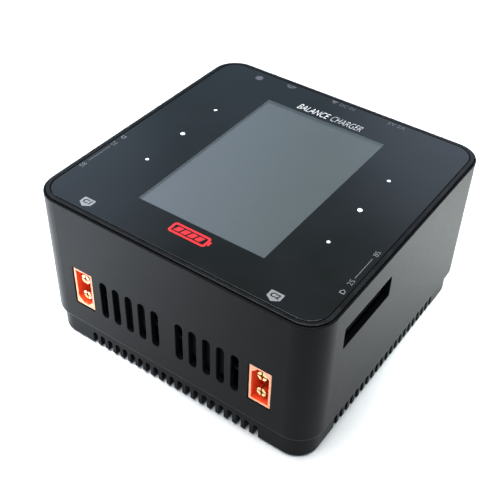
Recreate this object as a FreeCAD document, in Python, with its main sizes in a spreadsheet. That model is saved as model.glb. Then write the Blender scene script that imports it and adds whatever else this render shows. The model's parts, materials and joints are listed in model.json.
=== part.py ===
"""Two-channel balance battery charger, built as the separate pieces that it comes apart into.

Frame: millimetres, +X to the right along the front face, +Y to the back, +Z up. The origin is at
the middle of the footprint, on the surface that the rubber feet stand on. The front face holds the
two battery outputs and the fan vents, the left and right faces hold the balance sockets, and the
back face holds the supply input and the two small ports.

Every size is a cell of the sheet called "sizes". A size in the code is a text such as
"body_width / 2 - wall", which is bound to those cells as an expression.
"""
import FreeCAD, Part
import math
import os
import re

import Sketcher

Vector = FreeCAD.Vector
Rotation = FreeCAD.Rotation

SIZES = {
    # casing
    "body_width": 110.0,
    "body_corner": 9.6,
    "total_height": 61.5,
    "housing_top": 61.0,
    "housing_bottom": 9.8,
    "wall": 2.0,
    "rim_wall": 0.6,
    "rim_round": 0.25,
    "lower_round": 1.3,
    "edge_round": 0.2,
    "past": 1.0,
    "bite": 0.3,
    "fit_gap": 0.1,
    "deck_top": 59.4,
    "deck_thickness": 1.5,
    "deck_opening_x": 39.5,
    "deck_opening_y": 45.0,
    "deck_corner": 4.0,
    "boss_x": 42.0,
    "boss_y": 37.0,
    "boss_radius": 2.3,
    "pilot_radius": 1.0,
    "pilot_depth": 2.4,
    "blind_wall": 0.8,
    "web_half": 0.8,
    # bottom cover and its comb of air slots
    "cover_inset": 1.4,
    "cover_bottom": 0.8,
    "cover_lip_gap": 0.15,
    "cover_lip_top": 12.0,
    "cover_round": 0.5,
    "floor_bottom": 6.2,
    "floor_top": 8.2,
    "skirt": 8.0,
    "recess_corner": 14.0,
    "comb_pitch": 3.47,
    "comb_count": 21,
    "comb_width": 2.05,
    "inlet_width": 2.4,
    "inlet_length": 30.0,
    "inlet_pitch": 6.0,
    "inlet_count": 9,
    "inlet_middle": 20.0,
    "corner_post_radius": 4.2,
    "board_post_radius": 3.4,
    "board_thread": 4.0,
    # case screws and feet
    "screw_place": 46.0,
    "screw_radius": 1.5,
    "screw_head_radius": 2.75,
    "screw_head_bottom": 2.4,
    "screw_head_top": 4.8,
    "screw_tip": 26.0,
    "screw_gap": 0.2,
    "drive_reach": 1.9,
    "drive_half": 0.4,
    "drive_depth": 1.2,
    "post_radius": 3.75,
    "post_bottom": 13.0,
    "foot_radius": 5.25,
    "foot_height": 1.6,
    # bezel, glass and display
    "bezel_gap": 0.3,
    "bezel_width": 1.25,
    "bezel_ledge": 49.5,
    "bezel_ledge_thickness": 0.8,
    "ledge_corner": 6.0,
    "glass_gap": 0.4,
    "glass_thickness": 1.1,
    "tape_thickness": 0.2,
    "tape_width": 2.4,
    "tape_inset": 0.4,
    "panel_x": 27.25,
    "panel_y": 42.0,
    "panel_top": 60.0,
    "panel_thickness": 1.4,
    "panel_corner": 0.6,
    "tray_rim": 0.5,
    "tray_corner": 1.1,
    "tray_bottom": 56.3,
    "tray_floor": 0.4,
    "backlight_count": 7,
    "backlight_pitch": 7.0,
    "backlight_half": 1.9,
    "backlight_depth": 1.0,
    "backlight_height": 1.2,
    "backlight_gap": 0.2,
    "display_board_x": 44.5,
    "display_board_y": 41.0,
    "display_board_corner": 1.5,
    "touch_place_x": 35.9,
    "touch_place_y": 19.4,
    "touch_pad_radius": 2.6,
    "cable_half": 8.0,
    "cable_thickness": 0.3,
    "cable_level": 1.2,
    "cable_bend": 36.0,
    "cable_end": 30.0,
    "cable_socket_half": 9.0,
    "cable_socket_depth": 5.0,
    "cable_socket_height": 2.0,
    # front vents
    "vent_first": 4.95,
    "vent_pitch": 5.46,
    "vent_count": 5,
    "vent_width": 3.0,
    "vent_height": 16.0,
    "middle_level": 27.6,
    # battery outputs and supply input
    "socket_place": 36.1,
    "socket_short": 4.05,
    "socket_long": 7.95,
    "socket_gap": 0.2,
    "socket_recess": 0.35,
    "socket_length": 16.0,
    "socket_corner": 0.3,
    "cavity_short": 3.2,
    "cavity_long": 7.1,
    "cavity_key": 2.2,
    "cavity_depth": 8.5,
    "pin_radius": 1.75,
    "pin_reach": 3.6,
    "pin_recess": 1.1,
    "pin_slit": 0.5,
    "pin_slit_depth": 6.0,
    "pin_hollow": 0.7,
    "pin_hollow_depth": 4.0,
    "pin_tail": 3.0,
    "flange_reach": 4.0,
    "flange_thickness": 2.0,
    "flange_screw": 10.0,
    "flange_corner": 1.0,
    "lead_radius": 1.6,
    "low_lead_run": 1.2,
    "low_lead_bend": 6.5,
    "high_lead_run": 5.2,
    "high_lead_bend": 9.0,
    "leg_radius": 1.1,
    "leg_inset": 1.2,
    # balance sockets
    "balance_front": -39.7,
    "balance_back": -11.2,
    "balance_bottom": 43.5,
    "balance_top": 51.8,
    "balance_corner": 0.5,
    "header_half": 12.45,
    "header_height": 5.75,
    "header_depth": 11.3,
    "header_face": 52.8,
    "header_wall": 0.8,
    "header_back_wall": 2.5,
    "key_inset": 4.0,
    "key_half": 0.6,
    "key_depth": 5.0,
    "balance_pitch": 2.5,
    "balance_count": 9,
    "balance_pin": 0.32,
    "balance_pin_recess": 1.2,
    "balance_pin_tail": 1.6,
    # boards
    "board_x": 49.5,
    "board_back": 50.5,
    "board_notch": 10.0,
    "board_thickness": 1.6,
    "main_bottom": 12.5,
    "main_front": -41.0,
    "control_bottom": 43.2,
    "control_front": -50.5,
    "front_standoff_x": 26.0,
    "front_standoff_y": -36.0,
    "back_standoff_x": 34.0,
    "back_standoff_y": 40.0,
    "standoff_flats": 5.0,
    "standoff_thread": 6.0,
    "stud_radius": 1.25,
    "stud_length": 3.6,
    "stud_head_radius": 2.2,
    "stud_head_height": 1.6,
    "pilot_head_radius": 1.9,
    "pilot_head_height": 1.3,
    # fans
    "fan_place": 15.9,
    "fan_size": 30.0,
    "fan_depth": 10.0,
    "fan_gap": 0.2,
    "fan_corner": 2.5,
    "fan_bore": 14.3,
    "fan_screw_place": 12.0,
    "hub_plate_radius": 8.0,
    "hub_plate_thickness": 1.2,
    "strut_width": 1.6,
    "bearing_radius": 1.9,
    "bearing_length": 5.5,
    "bearing_wall": 0.7,
    "stator_step": 0.6,
    "stator_length": 3.5,
    "stator_gap": 0.5,
    "pole_gap_half": 0.5,
    "pole_root": 1.5,
    "shaft_radius": 0.75,
    "shaft_step": 0.3,
    "running_gap": 0.04,
    "rotor_radius": 7.6,
    "rotor_wall": 0.9,
    "cup_step": 0.5,
    "cup_length": 7.1,
    "blade_tip": 13.2,
    "blade_count": 7,
    "blade_thickness": 0.9,
    "blade_half": 3.1,
    "blade_rise": 5.6,
    # what stands on the boards
    "chip_thickness": 1.2,
    "buzzer_x": -24.0,
    "buzzer_y": 24.0,
    "buzzer_radius": 4.5,
    "buzzer_height": 4.5,
    "buzzer_mouth": 1.0,
    "link_place": 19.5,
    "link_half": 14.0,
    "link_depth": 5.0,
    "link_height": 4.0,
    "ribbon_half": 12.7,
    "ribbon_thickness": 1.0,
    "sink_place": 16.0,
    "sink_half_x": 12.0,
    "sink_front": -30.0,
    "sink_back": 14.0,
    "sink_base": 3.0,
    "sink_top": 38.0,
    "fin_count": 7,
    "fin_thickness": 1.2,
    "fin_pitch": 3.8,
    "transistor_first": 6.0,
    "transistor_pitch": 10.5,
    "transistor_half_x": 4.0,
    "transistor_half_y": 3.0,
    "transistor_height": 1.5,
    "thermal_pad": 0.6,
    "thermal_pad_half": 6.0,
    "thermal_pad_inset": 1.0,
    "inductor_x": 15.0,
    "inductor_y": 29.0,
    "inductor_half": 6.5,
    "inductor_height": 9.0,
    "inductor_corner": 2.0,
    "capacitor_x": 38.0,
    "capacitor_first": -10.0,
    "capacitor_pitch": 13.0,
    "capacitor_radius": 5.0,
    "capacitor_height": 18.0,
    # small ports on the back
    "port_recess": 0.4,
    "port_gap": 0.3,
    "usb_place": 22.3,
    "usb_half": 6.55,
    "usb_height": 5.75,
    "usb_wall": 0.35,
    "usb_length": 14.0,
    "usb_tongue_half": 5.5,
    "usb_tongue_thickness": 1.9,
    "usb_tongue_gap": 0.9,
    "usb_tongue_recess": 1.0,
    "usb_root_half": 6.0,
    "usb_root_depth": 3.0,
    "usb_contact_pitch": 2.3,
    "usb_contact_half": 0.5,
    "usb_contact_thickness": 0.15,
    "usb_contact_recess": 1.8,
    "service_place": -22.8,
    "service_half": 3.8,
    "service_height": 2.9,
    "service_wall": 0.3,
    "service_length": 5.5,
    "service_slope": 1.0,
    "service_tongue_half": 1.9,
    "service_tongue_thickness": 0.6,
    "service_tongue_rise": 0.2,
    "service_tongue_recess": 0.8,
}

MAIN_TOP = "main_bottom + board_thickness"
CONTROL_TOP = "control_bottom + board_thickness"
DECK_BOTTOM = "deck_top - deck_thickness"
INNER = "body_width / 2 - wall"
BEZEL_OUTER = "body_width / 2 - rim_wall - bezel_gap"
BEZEL_INNER = f"{BEZEL_OUTER} - bezel_width"
GLASS_EDGE = f"{BEZEL_INNER} - glass_gap"
GLASS_CORNER = "body_corner - rim_wall - bezel_gap - bezel_width - glass_gap"
GLASS_BOTTOM = "total_height - glass_thickness"
SOCKET_FACE = "body_width / 2 - socket_recess"
FAN_FRONT = "body_width / 2 - wall - fan_gap"
PORT_FACE = "body_width / 2 - port_recess"
# Chips on the control board: the middle of each, and half of its side.
CHIPS = (("0", "-12", "5"), ("-22", "6", "3.5"), ("22", "6", "3.5"), ("0", "8", "3"))
CLOSE = 1e-4
ALONG = {
    "X": Rotation(Vector(0, 1, 0), 90),
    "Y": Rotation(Vector(1, 0, 0), -90),
    "Z": Rotation(),
}

doc = FreeCAD.newDocument("charger")
sheet = doc.addObject("Spreadsheet::Sheet", "sizes")
for row, (alias, value) in enumerate(SIZES.items(), start=1):
    sheet.set(f"A{row}", alias)
    sheet.set(f"B{row}", str(value))
    sheet.setAlias(f"B{row}", alias)
doc.recompute()

probe = doc.addObject("App::FeaturePython", "probe")
probe.addProperty("App::PropertyFloat", "reading")
nodes = []


def bound(text):
    """The expression for a size text: every name in it is looked up in the sheet."""
    return re.sub(r"[a-z]\w+", lambda word: "sizes." + word.group(), text)


def number(text):
    """The present value of a size text."""
    probe.setExpression("reading", bound(text))
    probe.recompute()
    return probe.reading


def bind(thing, path, text):
    thing.setExpression(path, bound(text))


def node(thing, label):
    """Marks an object as one sub-part of the charger."""
    thing.Label = label
    nodes.append(thing)
    return thing


def new_body(label):
    return node(doc.addObject("PartDesign::Body", label), label)


def origin_item(body, role):
    return next(item for item in body.Origin.OriginFeatures if item.Role == role)


class Outline:
    """A sketch on one of its body's origin planes, whose curves are all held by the sheet."""

    def __init__(self, body, name, plane, level="0"):
        self.sketch = body.newObject("Sketcher::SketchObject", name)
        self.sketch.AttachmentSupport = [(origin_item(body, plane), "")]
        self.sketch.MapMode = "FlatFace"
        bind(self.sketch, "AttachmentOffset.Base.z", level)

    def hold(self, kind, places, text):
        row = self.sketch.addConstraint(Sketcher.Constraint(kind, *places, number(text)))
        bind(self.sketch, f"Constraints[{row}]", text)

    def place(self, index, point, x, y):
        self.hold("DistanceX", (-1, 1, index, point), x)
        self.hold("DistanceY", (-1, 1, index, point), y)

    def join(self, kind, first, second):
        """Joins the end of one curve to the start of the next."""
        self.sketch.addConstraint(Sketcher.Constraint(kind, first, 2, second, 1))

    def line(self, start, end):
        return self.sketch.addGeometry(Part.LineSegment(Vector(*start, 0), Vector(*end, 0)))

    def arc(self, x, y, radius, start, end):
        """An arc about (x, y) between two angles in quarter turns."""
        middle = Vector(number(x), number(y), 0)
        circle = Part.Circle(middle, Vector(0, 0, 1), number(radius))
        quarter = math.pi / 2
        index = self.sketch.addGeometry(Part.ArcOfCircle(circle, start * quarter, end * quarter))
        self.place(index, 3, x, y)
        return index

    def circle(self, x, y, radius):
        middle = Vector(number(x), number(y), 0)
        index = self.sketch.addGeometry(Part.Circle(middle, Vector(0, 0, 1), number(radius)))
        self.place(index, 3, x, y)
        self.hold("Radius", (index,), radius)

    def polygon(self, corners):
        spots = [(number(x), number(y)) for x, y in corners]
        sides = [self.line(spot, spots[(i + 1) % len(spots)]) for i, spot in enumerate(spots)]
        for i, side in enumerate(sides):
            self.join("Coincident", side, sides[(i + 1) % len(sides)])
            self.place(side, 1, *corners[i])

    def rectangle(self, low_x, high_x, low_y, high_y):
        self.polygon([(low_x, low_y), (high_x, low_y), (high_x, high_y), (low_x, high_y)])

    def arcs_joined(self, arcs, radius):
        """Closes a loop of arcs, given in turn, with straight lines tangent to them."""
        self.hold("Radius", (arcs[0],), radius)
        for other in arcs[1:]:
            self.sketch.addConstraint(Sketcher.Constraint("Equal", arcs[0], other))
        for i, arc in enumerate(arcs):
            following = arcs[(i + 1) % len(arcs)]
            start = self.sketch.getPoint(arc, 2)
            end = self.sketch.getPoint(following, 1)
            side = self.line((start.x, start.y), (end.x, end.y))
            self.join("Tangent", arc, side)
            self.join("Tangent", side, following)

    def rounded(self, half_x, half_y, radius, x="0", y="0"):
        """A rectangle with round corners about (x, y)."""
        arcs = []
        for quarter, (sign_x, sign_y) in enumerate((("+", "+"), ("-", "+"), ("-", "-"), ("+", "-"))):
            middle_x = f"{x} {sign_x} (({half_x}) - ({radius}))"
            middle_y = f"{y} {sign_y} (({half_y}) - ({radius}))"
            arcs.append(self.arc(middle_x, middle_y, radius, quarter, quarter + 1))
        self.arcs_joined(arcs, radius)

    def slot(self, x, low, high, radius):
        """An upright slot with round ends."""
        top = self.arc(x, f"{high} - {radius}", radius, 0, 2)
        bottom = self.arc(x, f"{low} + {radius}", radius, 2, 4)
        self.arcs_joined([top, bottom], radius)


def pad(body, outline, length, reverse=False):
    feature = body.newObject("PartDesign::Pad", "Pad")
    feature.Profile = outline.sketch
    bind(feature, "Length", length)
    feature.Reversed = reverse
    return feature


def pocket(body, outline, depth=None, reverse=False):
    """Cuts an outline to a depth, or with no depth right through both ways."""
    doc.recompute()
    before = body.Shape.Volume
    feature = body.newObject("PartDesign::Pocket", "Pocket")
    feature.Profile = outline.sketch
    if depth is None:
        feature.Type = "ThroughAll"
        feature.SideType = "Symmetric"
    else:
        bind(feature, "Length", depth)
        feature.Reversed = reverse
    doc.recompute()
    if before - body.Shape.Volume < CLOSE:
        raise ValueError(f"{body.Label}: {outline.sketch.Name} cuts nothing")
    return feature


def row_of(body, original, outline, axis, pitch, count, reverse=False):
    """Repeats a feature along one of its sketch's axes."""
    pattern = body.newObject("PartDesign::LinearPattern", "LinearPattern")
    pattern.Originals = [original]
    pattern.Direction = (outline.sketch, [axis])
    pattern.Mode = "Spacing"
    bind(pattern, "Offset", pitch)
    bind(pattern, "Occurrences", count)
    pattern.Reversed = reverse
    body.Tip = pattern
    return pattern


def ring_of(body, original, role, count):
    """Repeats a feature right round one of its body's axes."""
    pattern = body.newObject("PartDesign::PolarPattern", "PolarPattern")
    pattern.Originals = [original]
    pattern.Axis = (origin_item(body, role), [""])
    pattern.Angle = 360
    bind(pattern, "Occurrences", count)
    body.Tip = pattern
    return pattern


def round_edges(body, base, radius, chosen):
    """Rounds the edges of a feature that a test of the edge picks out."""
    doc.recompute()
    names = [f"Edge{i}" for i, edge in enumerate(base.Shape.Edges, start=1) if chosen(edge)]
    feature = body.newObject("PartDesign::Fillet", "Fillet")
    feature.Base = (base, names)
    bind(feature, "Radius", radius)
    return feature


def level_edges(axis, level):
    """A test for edges that lie wholly at one place on an axis."""
    return lambda edge: all(abs(getattr(corner, axis) - number(level)) < CLOSE for corner in edge.Vertexes)


def opening_edges(axis, level):
    """A test for edges of the openings in one outer face, clear of the face's own borders."""
    on_face = level_edges(axis, level)
    low = number("housing_bottom + lower_round + past")
    high = number(DECK_BOTTOM)
    reach = number("body_width / 2 - body_corner - past")

    def chosen(edge):
        middle = edge.CenterOfMass
        across = middle.y if axis == "X" else middle.x
        return on_face(edge) and abs(across) < reach and low < middle.z < high
    return chosen


def put(thing, x, y, z):
    for axis, text in zip("xyz", (x, y, z)):
        bind(thing, f"Placement.Base.{axis}", text)
    return thing


def block(x, y, z):
    """A box between two texts on each axis."""
    thing = doc.addObject("Part::Box", "Box")
    for side, (low, high) in zip(("Length", "Width", "Height"), (x, y, z)):
        bind(thing, side, f"({high}) - ({low})")
    return put(thing, x[0], y[0], z[0])


def rod(axis, radius, x, y, z):
    """A cylinder along one axis; the span on that axis is a pair of texts."""
    thing = doc.addObject("Part::Cylinder", "Cylinder")
    low, high = {"X": x, "Y": y, "Z": z}[axis]
    bind(thing, "Radius", radius)
    bind(thing, "Height", f"({high}) - ({low})")
    thing.Placement.Rotation = ALONG[axis]
    start = [low if name == axis else text for name, text in zip("XYZ", (x, y, z))]
    return put(thing, *start)


def fused(*members):
    thing = doc.addObject("Part::MultiFuse", "Fusion")
    thing.Shapes = list(members)
    thing.Refine = True
    return thing


def cut(base, *tools):
    thing = doc.addObject("Part::Cut", "Cut")
    thing.Base = base
    thing.Tool = tools[0] if len(tools) == 1 else fused(*tools)
    thing.Refine = True
    return thing


def group(members, label):
    """One node for a set of separate solids."""
    thing = doc.addObject("Part::Compound", label)
    thing.Links = list(members)
    return node(thing, label)


def both_signs(text):
    return f"-({text})", text


def four_places(x, y):
    return [(f"{i} * ({x})", f"{j} * ({y})") for i in (-1, 1) for j in (-1, 1)]


def standoff_places():
    front = [(f"{i} * front_standoff_x", "front_standoff_y") for i in (-1, 1)]
    back = [(f"{i} * back_standoff_x", "back_standoff_y") for i in (-1, 1)]
    return front + back


def circles(body, name, plane, level, places, radius):
    outline = Outline(body, name, plane, level)
    for x, y in places:
        outline.circle(x, y, radius)
    return outline


# ---------------------------------------------------------------- casing

def main_housing():
    """The upper casing: a square shell, open below, with a deck that carries the display."""
    body = new_body("main_housing")
    outside = Outline(body, "Outside", "XY_Plane", "housing_bottom")
    outside.rounded("body_width / 2", "body_width / 2", "body_corner")
    shell = pad(body, outside, "housing_top - housing_bottom")
    lower = round_edges(body, shell, "lower_round", level_edges("Z", "housing_bottom"))
    round_edges(body, lower, "rim_round", level_edges("Z", "housing_top"))

    inside = Outline(body, "Inside", "XY_Plane", DECK_BOTTOM)
    inside.rounded(INNER, INNER, "body_corner - wall")
    pocket(body, inside, f"{DECK_BOTTOM} - housing_bottom + past")

    rim = Outline(body, "Rim", "XY_Plane", "housing_top")
    half = "body_width / 2 - rim_wall"
    rim.rounded(half, half, "body_corner - rim_wall")
    pocket(body, rim, "housing_top - deck_top")

    opening = Outline(body, "DisplayOpening", "XY_Plane", "deck_top")
    opening.rounded("deck_opening_x", "deck_opening_y", "deck_corner")
    pocket(body, opening, "deck_thickness + past")

    posts = circles(body, "Posts", "XY_Plane", "post_bottom",
                    four_places("screw_place", "screw_place"), "post_radius")
    pad(body, posts, f"{DECK_BOTTOM} - post_bottom")
    webs = Outline(body, "Webs", "XY_Plane", "post_bottom")
    for side in (-1, 1):
        for end in (-1, 1):
            near = sorted((f"{side} * (screw_place + past)", f"{side} * ({INNER} + bite)"), key=number)
            middle = f"{end} * screw_place"
            webs.rectangle(*near, f"{middle} - web_half", f"{middle} + web_half")
    pad(body, webs, f"{DECK_BOTTOM} - post_bottom")
    holes = circles(body, "PostHoles", "XY_Plane", "post_bottom - past",
                    four_places("screw_place", "screw_place"), "screw_radius")
    pocket(body, holes, "screw_tip - post_bottom + 2 * past", reverse=True)

    places = four_places("boss_x", "boss_y")
    bosses = circles(body, "Bosses", "XY_Plane", "tray_bottom", places, "boss_radius")
    pad(body, bosses, f"{DECK_BOTTOM} - tray_bottom")
    pilots = circles(body, "Pilots", "XY_Plane", "tray_bottom", places, "pilot_radius")
    pocket(body, pilots, "pilot_depth", reverse=True)

    for side in (-1, 1):
        vent = Outline(body, "Vent", "XZ_Plane", "body_width / 2 + past")
        low = "middle_level - vent_height / 2"
        high = "middle_level + vent_height / 2"
        vent.slot(f"{side} * vent_first", low, high, "vent_width / 2")
        first = pocket(body, vent, "wall + 2 * past")
        row_of(body, first, vent, "H_Axis", "vent_pitch", "vent_count", reverse=side < 0)

        window = Outline(body, "OutputWindow", "XZ_Plane", "body_width / 2 + past")
        middle = f"{side} * socket_place"
        window.rectangle(f"{middle} - socket_short - socket_gap", f"{middle} + socket_short + socket_gap",
                         "middle_level - socket_long - socket_gap", "middle_level + socket_long + socket_gap")
        pocket(body, window, "wall + 2 * past")

    blind = Outline(body, "BlindHoles", "XZ_Plane", f"{INNER} - past")
    for side in (-1, 1):
        for x, z in four_places("fan_screw_place", "fan_screw_place"):
            blind.circle(f"{side} * fan_place + {x}", f"middle_level + {z}", "stud_radius")
        for end in (-1, 1):
            blind.circle(f"{side} * socket_place", f"middle_level + {end} * flange_screw", "pilot_radius")
    pocket(body, blind, "past + wall - blind_wall", reverse=True)

    balance = Outline(body, "BalanceSlots", "YZ_Plane")
    middle = "(balance_front + balance_back) / 2"
    balance.rounded("(balance_back - balance_front) / 2", "(balance_top - balance_bottom) / 2",
                    "balance_corner", middle, "(balance_top + balance_bottom) / 2")
    pocket(body, balance)

    ports = Outline(body, "RearPorts", "XZ_Plane", "-body_width / 2 - past")
    low = f"{MAIN_TOP} - port_gap"
    supply = both_signs("socket_long + socket_gap")
    ports.rectangle(*supply, f"{MAIN_TOP} - socket_gap", f"{MAIN_TOP} + 2 * socket_short + socket_gap")
    ports.rectangle("usb_place - usb_half - port_gap", "usb_place + usb_half + port_gap",
                    low, f"{MAIN_TOP} + usb_height + port_gap")
    ports.rectangle("service_place - service_half - port_gap", "service_place + service_half + port_gap",
                    low, f"{MAIN_TOP} + service_height + port_gap")
    last = pocket(body, ports, "wall + 2 * past", reverse=True)

    for axis in ("X", "Y"):
        for side in (-1, 1):
            edges = opening_edges(axis, f"{side} * body_width / 2")
            last = round_edges(body, last, "edge_round", edges)


def bottom_cover():
    """The inset lower casing: a raised floor on a skirt that is cut into a comb of air slots."""
    body = new_body("bottom_cover")
    half = "body_width / 2 - cover_inset"
    outside = Outline(body, "Outside", "XY_Plane", "cover_bottom")
    outside.rounded(half, half, "body_corner - cover_inset")
    skirt = pad(body, outside, "housing_bottom - cover_bottom")
    round_edges(body, skirt, "cover_round", level_edges("Z", "cover_bottom"))

    lip_half = f"{INNER} - cover_lip_gap"
    lip = Outline(body, "Lip", "XY_Plane", "housing_bottom")
    lip.rounded(lip_half, lip_half, "body_corner - wall - cover_lip_gap")
    pad(body, lip, "cover_lip_top - housing_bottom")
    tray = Outline(body, "Tray", "XY_Plane", "cover_lip_top")
    tray.rounded(f"{lip_half} - wall", f"{lip_half} - wall", "body_corner - 2 * wall")
    pocket(body, tray, "cover_lip_top - floor_top")
    recess = Outline(body, "Recess", "XY_Plane", "floor_bottom")
    recess.rounded(f"{half} - skirt", f"{half} - skirt", "recess_corner")
    pocket(body, recess, "floor_bottom")

    for plane in ("XZ_Plane", "YZ_Plane"):
        notch = Outline(body, "Notch", plane)
        notch.slot("-comb_pitch * (comb_count - 1) / 2", "-comb_width", "floor_bottom", "comb_width / 2")
        first = pocket(body, notch)
        row_of(body, first, notch, "H_Axis", "comb_pitch", "comb_count")

    for end in (-1, 1):
        inlet = Outline(body, "Inlet", "XY_Plane", "floor_top")
        middle = f"{end} * inlet_middle"
        inlet.slot("-inlet_pitch * (inlet_count - 1) / 2", f"{middle} - inlet_length / 2",
                   f"{middle} + inlet_length / 2", "inlet_width / 2")
        first = pocket(body, inlet, "floor_top - floor_bottom")
        row_of(body, first, inlet, "H_Axis", "inlet_pitch", "inlet_count")

    corners = four_places("screw_place", "screw_place")
    tall = circles(body, "CornerPosts", "XY_Plane", "floor_top", corners, "corner_post_radius")
    pad(body, tall, "post_bottom - floor_top")
    short = circles(body, "BoardPosts", "XY_Plane", "floor_top", standoff_places(), "board_post_radius")
    pad(body, short, "main_bottom - floor_top")
    threads = circles(body, "BoardThreads", "XY_Plane", "main_bottom", standoff_places(), "stud_radius")
    pocket(body, threads, "board_thread")
    through = circles(body, "ScrewHoles", "XY_Plane", "post_bottom", corners, "screw_radius + screw_gap")
    pocket(body, through, "post_bottom")
    heads = circles(body, "HeadHoles", "XY_Plane", "screw_head_top", corners, "screw_head_radius + screw_gap")
    pocket(body, heads, "screw_head_top")
    seats = circles(body, "FootSeats", "XY_Plane", "foot_height", corners, "foot_radius + fit_gap")
    pocket(body, seats, "foot_height")


def fixings():
    """Feet, case screws, standoffs and board screws."""
    corners = four_places("screw_place", "screw_place")
    feet = [rod("Z", "foot_radius", x, y, ("0", "foot_height")) for x, y in corners]
    group(feet, "rubber_feet")

    slot_height = ("screw_head_bottom", "screw_head_bottom + drive_depth")
    screws = []
    for x, y in corners:
        head = rod("Z", "screw_head_radius", x, y, ("screw_head_bottom", "screw_head_top"))
        shank = rod("Z", "screw_radius", x, y, ("screw_head_top", "screw_tip"))
        long_x, long_y = [(f"{middle} - drive_reach", f"{middle} + drive_reach") for middle in (x, y)]
        thin_x, thin_y = [(f"{middle} - drive_half", f"{middle} + drive_half") for middle in (x, y)]
        drive = fused(block(long_x, thin_y, slot_height), block(thin_x, long_y, slot_height))
        screws.append(cut(fused(head, shank), drive))
    group(screws, "case_screws")

    standoffs = []
    for x, y in standoff_places():
        hexagon = doc.addObject("Part::Prism", "Hexagon")
        hexagon.Polygon = 6
        bind(hexagon, "Circumradius", "standoff_flats / 3 ^ 0.5")
        bind(hexagon, "Height", f"control_bottom - ({MAIN_TOP})")
        put(hexagon, x, y, MAIN_TOP)
        stud = rod("Z", "stud_radius", x, y, ("main_bottom - stud_length", MAIN_TOP))
        hole = rod("Z", "stud_radius", x, y, ("control_bottom - standoff_thread", "control_bottom"))
        standoffs.append(cut(fused(hexagon, stud), hole))
    group(standoffs, "board_standoffs")

    screws = []
    for x, y in standoff_places():
        head = rod("Z", "stud_head_radius", x, y, (CONTROL_TOP, f"{CONTROL_TOP} + stud_head_height"))
        shank = rod("Z", "stud_radius", x, y, ("control_bottom - stud_length", CONTROL_TOP))
        screws.append(fused(head, shank))
    group(screws, "control_board_screws")


# ---------------------------------------------------------------- top

def top_bezel():
    """The glossy ring round the glass, with a ledge below it that the glass is taped to."""
    body = new_body("top_bezel")
    corner = "body_corner - rim_wall - bezel_gap"
    ring = Outline(body, "Ring", "XY_Plane", "deck_top")
    ring.rounded(BEZEL_OUTER, BEZEL_OUTER, corner)
    raised = pad(body, ring, "total_height - deck_top")
    round_edges(body, raised, "rim_round", level_edges("Z", "total_height"))
    well = Outline(body, "Well", "XY_Plane", "total_height")
    well.rounded(BEZEL_INNER, BEZEL_INNER, f"{corner} - bezel_width")
    pocket(body, well, "total_height - deck_top - bezel_ledge_thickness")
    opening = Outline(body, "Opening", "XY_Plane", "total_height")
    opening.rounded("bezel_ledge", "bezel_ledge", "ledge_corner")
    pocket(body, opening, "total_height - deck_top + past")


def cover_glass():
    """The glass over the whole top, and the tape that holds it to the bezel's ledge."""
    body = new_body("cover_glass")
    outline = Outline(body, "Pane", "XY_Plane", GLASS_BOTTOM)
    outline.rounded(GLASS_EDGE, GLASS_EDGE, GLASS_CORNER)
    pane = pad(body, outline, "glass_thickness")
    round_edges(body, pane, "rim_round / 2", level_edges("Z", "total_height"))

    body = new_body("glass_tape")
    outline = Outline(body, "Tape", "XY_Plane", f"{GLASS_BOTTOM} - tape_thickness")
    for inset in ("tape_inset", "(tape_inset + tape_width)"):
        outline.rounded(f"{GLASS_EDGE} - {inset}", f"{GLASS_EDGE} - {inset}", f"{GLASS_CORNER} - {inset}")
    pad(body, outline, "tape_thickness")


def display():
    """The display module, the board behind it, and the pads under the touch marks.

    The module is a sheet steel tray that holds the light guide with its row of lamps along the
    front edge, and the panel over them.
    """
    body = new_body("display_panel")
    outline = Outline(body, "Panel", "XY_Plane", "panel_top - panel_thickness")
    outline.rounded("panel_x", "panel_y", "panel_corner")
    pad(body, outline, "panel_thickness")

    body = new_body("display_frame")
    outline = Outline(body, "Tray", "XY_Plane", "tray_bottom")
    outline.rounded("panel_x + tray_rim", "panel_y + tray_rim", "tray_corner")
    pad(body, outline, "panel_top - tray_bottom")
    well = Outline(body, "Well", "XY_Plane", "panel_top")
    well.rounded("panel_x + fit_gap", "panel_y + fit_gap", "panel_corner")
    pocket(body, well, "panel_top - tray_bottom - tray_floor")

    floor = "tray_bottom + tray_floor"
    lamp_back = "backlight_depth - panel_y"
    guide = block(both_signs("panel_x"), (f"{lamp_back} + backlight_gap", "panel_y - panel_corner"),
                  (floor, "panel_top - panel_thickness"))
    node(guide, "light_guide")

    lamps = []
    for index in range(SIZES["backlight_count"]):
        middle = f"({index} - (backlight_count - 1) / 2) * backlight_pitch"
        lamps.append(block((f"{middle} - backlight_half", f"{middle} + backlight_half"),
                           ("-panel_y", lamp_back), (floor, f"{floor} + backlight_height")))
    group(lamps, "backlight_lamps")

    body = new_body("display_board")
    under = "tray_bottom - board_thickness"
    outline = Outline(body, "Board", "XY_Plane", under)
    outline.rounded("display_board_x", "display_board_y", "display_board_corner")
    places = four_places("boss_x", "boss_y")
    for x, y in places:
        outline.circle(x, y, "pilot_radius + fit_gap")
    pad(body, outline, "board_thickness")

    pads = []
    for side in (-1, 1):
        for step in (-1, 0, 1):
            pads.append(rod("Z", "touch_pad_radius", f"{side} * touch_place_x",
                            f"{step} * touch_place_y", ("tray_bottom", GLASS_BOTTOM)))
    group(pads, "touch_pads")

    screws = []
    for x, y in places:
        head = rod("Z", "pilot_head_radius", x, y, (f"{under} - pilot_head_height", under))
        shank = rod("Z", "pilot_radius", x, y, (under, "tray_bottom + pilot_depth - screw_gap"))
        screws.append(fused(head, shank))
    group(screws, "display_screws")


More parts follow.
